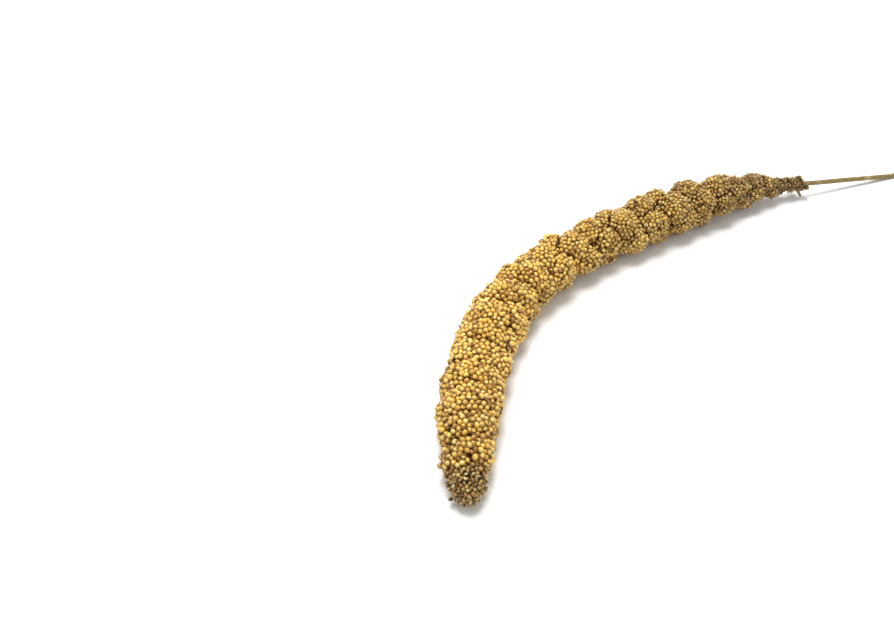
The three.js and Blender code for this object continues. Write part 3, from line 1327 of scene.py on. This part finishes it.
@dataclass
class Head:
    """The lobes of the head with their grains, bristles and chaff."""

    spiral: Spiral
    habit: GrainHabit = GrainHabit()
    inner_habit: InnerHabit = InnerHabit()
    stub: StubHabit = StubHabit()
    bristle: ChaffHabit = ChaffHabit(
        share=0.2,
        worn_share=0.7,
        shortest=1.6,
        longest=3.0,
        worn_longer=4.0,
        sink=0.9 * MM,
        lean=0.6,
        stray=0.5,
        tints=(0.4, 1.0),
    )
    flake: ChaffHabit = ChaffHabit(
        share=0.05,
        worn_share=0.45,
        shortest=1.1,
        longest=1.7,
        sink=0.5 * MM,
        stray=0.7,
        tints=(0.2, 1.0),
    )
    upper_from: float = 122 * MM
    gold_range: Range = (0.0, 165 * MM)
    waning_range: Range = (165 * MM, 200 * MM)
    waning_share: float = 0.28
    worn_range: Range = (199.5 * MM, 208 * MM)
    worn_gold: float = 0.85
    stunted_worn: float = 0.35
    foot_range: Range = (20 * MM, 50 * MM)
    bed_sink: float = 1.4 * MM
    clearance: float = 1 * MM
    lowest: float = 0.3 * MM
    size_spread: float = 0.08
    tilt: float = 0.65
    chaff_tilt: float = 0.3
    chaff_seed: int = 5
    seed: int = 11
    ripe: GrainFinish = GrainFinish("ripe_grain", roughness=0.35, gloss=0.5)
    stunted: GrainFinish = GrainFinish(
        "stunted_grain",
        roughness=0.7,
        gloss=0.3,
        dull=0x8E7248,
        ripe=0x9E7E4E,
        pale=0xC4A874,
        deep=0x604828,
        # root: colour of the painted shade at the root of each grain.
        root=0x48341A,
    )
    # Second layer: the same grains as the first, in darker browns as painted shade for the gaps
    # between the outer grains.
    second: GrainFinish = GrainFinish(
        "shaded_inner_grain",
        roughness=0.6,
        gloss=0.3,
        dull=0x6A5026,
        ripe=0x9A6C2A,
        pale=0xB88E4A,
        deep=0x5E3C16,
        # root: colour of the painted shade at the root of each grain.
        root=0x382410,
    )
    bed: BedFinish = BedFinish("bed", roughness=0.85, gloss=0.2)
    chaff: ChaffFinish = ChaffFinish("chaff", roughness=0.5, gloss=0.4)
    chance: np.random.Generator = field(init=False, repr=False)
    bristles: Spots = field(init=False, default_factory=Spots)
    flakes: Spots = field(init=False, default_factory=Spots)
    beds: Spots = field(init=False, default_factory=Spots)
    inner: Spots = field(init=False, default_factory=Spots)

    def __post_init__(self) -> None:
        """Starts the random draws."""
        self.chance = np.random.default_rng(self.seed)

    def ripeness(self, place: float) -> Ripeness:
        """Sorts a place along the head by how ripe its grains are."""
        if place < self.spiral.stunted_to:
            return Ripeness.STUNTED
        return Ripeness.LOWER if place < self.upper_from else Ripeness.UPPER

    def gold(self, place: float) -> float:
        """Tells how golden the grains at a place are."""
        waning = 1 - self.waning_share * smoothstep(place, *self.waning_range)
        worn = 1 - self.worn_gold * self.worn(place)
        return smoothstep(place, *self.gold_range) * waning * worn

    def worn(self, place: float) -> float:
        """Tells how stunted the grains towards the very tip are."""
        return smoothstep(place, *self.worn_range)

    def build(self) -> list[bpy.types.Object]:
        """Plants the grains of every whorl, then the beds, bristles and flakes.

        Returns:
            The pieces.
        """
        lobes = self.spiral.lobes()
        grown = GrainField(lobes)
        LOG.info("%d grains on %d lobes", sum(map(len, grown.points)), len(lobes))
        grains = GrainPlanting("grain planting", {"Point": 0.45, "Flatness": 1.0})
        finishes = {Ripeness.STUNTED: self.stunted.material()}
        finishes[Ripeness.LOWER] = finishes[Ripeness.UPPER] = self.ripe.material()
        scatter = {"Size spread": self.size_spread, "Tilt": self.tilt, "Spin": math.pi}
        pieces = []
        for whorl in range(lobes[-1].whorl + 1):
            spots = Spots()
            members = [i for i, lobe in enumerate(lobes) if lobe.whorl == whorl]
            for i in members:
                self._plant_lobe(grown, i, spots)
                lobe = lobes[i]
                self.beds.add(lobe.centre, lobe.axes, tuple(lobe.sizes - self.bed_sink))
                self._plant_inner(grown, i)
            if whorl == 0:
                self._plant_stub(spots)
            stage = self.ripeness(lobes[members[0]].place)
            sizes = {**scatter, "Seed": whorl}
            piece = grains.grow(f"grains_{whorl + 1:02d}", spots, finishes[stage], sizes)
            self.dress(piece, stage.value, f"whorl_{whorl + 1:02d}")
            pieces.append(piece)
        return pieces + self._extras()

    def _plant_lobe(self, grown: GrainField, index: int, spots: Spots) -> None:
        """Chooses the size, set and tint of each grain of a lobe, and the chaff beside it.

        Args:
            grown: All grains.
            index: The lobe.
            spots: Takes the grains.
        """
        lobe, points = grown.lobes[index], grown.points[index]
        if not len(points):
            return
        habit, chance = self.habit, self.chance
        low, high = (share * grown.pitch(lobe) for share in habit.width)
        along, _, _ = self.spiral.course.directions(lobe.place)
        gold = self.gold(lobe.place) + habit.lobe_spread * draw(lobe.number, Aspect.GOLD)
        stunted = lobe.place < self.spiral.stunted_to
        worn = max(self.worn(lobe.place), self.stunted_worn * stunted)
        foot = 1 - smoothstep(lobe.place, *self.foot_range)
        mean = habit.tint - habit.worn_tint * worn - habit.foot_tint * foot
        for point, normal, space in zip(points, lobe.normal(points), grown.room(index)):
            width = float(np.clip(habit.room_share * space, low, high))
            width *= 1 - habit.worn_width * worn * chance.random()
            beside = 0.5 * width * unit(np.cross(normal, chance.normal(size=3)))
            self._plant_chaff(point + beside, normal, along, worn)
            if chance.random() < habit.missing + habit.worn_missing * worn:
                continue
            length = width * chance.uniform(*habit.length)
            uneven = habit.unevenness * (1 + worn) * chance.normal()
            centre = point + (habit.stand_out + uneven - habit.sink * length) * normal
            centre[2] = max(centre[2], 0.5 * width)
            axis = unit(normal + habit.lean * lobe.axes[2] + habit.stray * chance.normal(size=3))
            tint = float(np.clip(chance.normal(mean, habit.tint_spread), 0, 1))
            ripe = float(np.clip(gold + habit.ripe_spread * chance.normal(), 0, 1))
            girth = width * chance.uniform(*habit.girth)
            thickness = width * chance.uniform(*habit.thickness)
            spots.add(centre, axis, (girth, thickness, length), tint, ripe)

    def _plant_chaff(
        self, base: np.ndarray, normal: np.ndarray, along: np.ndarray, worn: float
    ) -> None:
        """Draws whether a bristle and a flake grow beside a grain.

        Args:
            base: A point beside the grain.
            normal: The direction out of the lobe there.
            along: The direction to the tip of the head.
            worn: How stunted the place is.
        """
        chance, bristle, flake = self.chance, self.bristle, self.flake
        if chance.random() < bristle.share_at(worn):
            aim = unit(normal + bristle.lean * along + bristle.stray * chance.normal(size=3))
            size = (MM, MM, bristle.reach(chance, worn))
            self._stand(self.bristles, base - bristle.sink * normal, aim, size, bristle.tints)
        if chance.random() < flake.share_at(worn):
            size = (flake.reach(chance, worn),) * 3
            aim = unit(normal + flake.stray * chance.normal(size=3))
            self._stand(self.flakes, base - flake.sink * normal, aim, size, flake.tints)

    def _stand(
        self, spots: Spots, root: np.ndarray, aim: np.ndarray, size: Triple, tints: Range
    ) -> None:
        """Adds a bristle or flake if its end stays clear of the surface below."""
        if root[2] + size[2] * aim[2] > self.clearance:
            spots.add(root, aim, size, float(self.chance.uniform(*tints)))

    def _plant_stub(self, spots: Spots) -> None:
        """Lines up the husks of the hooked little branch under the foot of the head.

        Args:
            spots: Takes the husks.
        """
        stub = self.stub
        along, side, up = self.spiral.course.directions(stub.place)
        start = self.spiral.course.point(stub.place)
        for i in range(stub.husks):
            share = i / (stub.husks - 1)
            aim = unit(stub.sideways * side - stub.down * up - stub.hook * share * along)
            width = lerp(*stub.widths, share) * MM
            size = (width, width, stub.husk_length * width)
            tint = stub.tint + stub.tint_spread * draw(i, Aspect.HUSK)
            spots.add(start + stub.length * share * aim, aim, size, tint)

    def _plant_inner(self, grown: GrainField, index: int) -> None:
        """Chooses the size and tint of the grains that show in the gaps of a lobe; their low tints
        are painted shade.

        Args:
            grown: All grains.
            index: The lobe.
        """
        lobe, habit, chance = grown.lobes[index], self.inner_habit, self.chance
        gold = self.gold(lobe.place)
        for point in grown.inner(index, habit.sink):
            width = grown.pitch(lobe) * chance.uniform(*habit.width)
            axis = unit(lobe.normal(point[None, :])[0] + habit.stray * chance.normal(size=3))
            if point[2] > width:
                tint = float(chance.uniform(*habit.tints))
                ripe = float(np.clip(gold + habit.ripe_spread * chance.normal(), 0, 1))
                self.inner.add(point, axis, (width, width, habit.length * width), tint, ripe)

    def _extras(self) -> list[bpy.types.Object]:
        """Makes the pieces that belong to the whole head.

        Returns:
            The pieces.
        """
        chaff = self.chaff.material()
        bristle = BristlePlanting("bristle planting", {"Bend": 0.6, "Thickness": 0.024})
        flake = FlakePlanting("flake planting", {"Thickness": 0.08, "Curl": 0.35})
        shape = {"Point": 0.4, "Flatness": 0.9}
        second = GrainPlanting("inner grain planting", shape, segments=6, rings=4)
        bed = BedPlanting("bed planting")
        kinds = (
            ("bristles", bristle, self.bristles, chaff, "straw"),
            ("flakes", flake, self.flakes, chaff, "straw"),
            ("inner_grains", second, self.inner, self.second.material(), "lower_grain"),
            ("beds", bed, self.beds, self.bed.material(), "stunted_grain"),
        )
        scatter = {"Tilt": self.chaff_tilt, "Spin": math.pi, "Seed": self.chaff_seed}
        pieces = []
        for name, planting, spots, finish, slot in kinds:
            piece = planting.grow(name, spots, finish, {} if planting is bed else scatter)
            self._level(piece)
            self.dress(piece, slot)
            pieces.append(piece)
        return pieces

    def _level(self, piece: bpy.types.Object) -> None:
        """Flattens what would lie under the surface.

        Args:
            piece: The piece.
        """
        spots = np.zeros(3 * len(piece.data.vertices))
        piece.data.vertices.foreach_get("co", spots)
        spots[2::3] = np.maximum(spots[2::3], self.lowest)
        piece.data.vertices.foreach_set("co", spots)

    @staticmethod
    def dress(piece: bpy.types.Object, slot: str, *nodes: str) -> None:
        """Gives a piece its place in the frame.

        Args:
            piece: The piece.
            slot: Not used.
            *nodes: The solids that it stands for.
        """
        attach(piece, BODY)
        if nodes:
            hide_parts(*nodes)
        report(piece)


@dataclass
class Studio:
    """The pale floor, the soft light and the camera."""

    camera_place: Triple = (-0.20182, -0.12432, 0.2)
    camera_turn: Triple = (math.radians(45), 0.0, math.radians(-39))
    focal_pixels: float = 851.0
    image_width: float = 894.0
    sensor_width: float = 36.0
    nearest: float = 0.01
    floor_size: float = 4.0
    floor_colour: int = 0xF6F6F6
    floor_roughness: float = 0.9
    floor_gloss: float = 0.1
    sky: float = 0.64
    key_power: float = 16.0
    key_place: Triple = (0.06, 0.33, 1.1)
    key_size: float = 0.6

    def build(self) -> None:
        """Sets up the floor, the lights and the camera."""
        scene = bpy.context.scene
        half = self.floor_size / 2
        mesh = bpy.data.meshes.new("floor")
        corners = [(-half, -half, 0.0), (half, -half, 0.0), (half, half, 0.0), (-half, half, 0.0)]
        mesh.from_pydata(corners, [], [(0, 1, 2, 3)])
        material = bpy.data.materials.new("floor")
        material.use_nodes = True
        shader = material.node_tree.nodes["Principled BSDF"]
        shader.inputs["Base Color"].default_value = linear(self.floor_colour)
        shader.inputs["Roughness"].default_value = self.floor_roughness
        shader.inputs["Specular IOR Level"].default_value = self.floor_gloss
        mesh.materials.append(material)
        floor = bpy.data.objects.new("floor", mesh)
        scene.collection.objects.link(floor)
        self._light("key", self.key_place, self.key_size, self.key_power)
        world = bpy.data.worlds.new("studio")
        world.use_nodes = True
        background = world.node_tree.nodes["Background"]
        background.inputs["Color"].default_value = (1.0, 1.0, 1.0, 1.0)
        background.inputs["Strength"].default_value = self.sky
        scene.world = world
        scene.view_settings.view_transform = "Standard"
        camera = bpy.data.objects.new("camera", bpy.data.cameras.new("camera"))
        camera.data.sensor_fit = "HORIZONTAL"
        camera.data.sensor_width = self.sensor_width
        camera.data.lens = self.sensor_width * self.focal_pixels / self.image_width
        camera.data.clip_start = self.nearest
        camera.location = self.camera_place
        camera.rotation_euler = Euler(self.camera_turn)
        scene.collection.objects.link(camera)
        scene.camera = camera

    @staticmethod
    def _light(name: str, place: Triple, size: float, power: float) -> None:
        """Adds a square soft light that faces the origin.

        Args:
            name: The light's name.
            place: Where it hangs.
            size: Its side.
            power: Its power in watts.
        """
        data = bpy.data.lights.new(name, "AREA")
        data.size = size
        data.energy = power
        light = bpy.data.objects.new(name, data)
        light.location = place
        light.rotation_euler = (-Vector(place)).to_track_quat("-Z", "Y").to_euler()
        bpy.context.scene.collection.objects.link(light)


def main() -> None:
    """Builds the scene: the studio, the straw and the head."""
    logging.basicConfig(level=logging.INFO, format="%(name)s: %(message)s")
    Studio().build()
    course = Course()
    straw = Straw(course)
    straw.dress(straw.build())
    pieces = Head(Spiral(course)).build()
    LOG.info("%d pieces in the head", len(pieces))


if __name__ == "__main__":
    main()
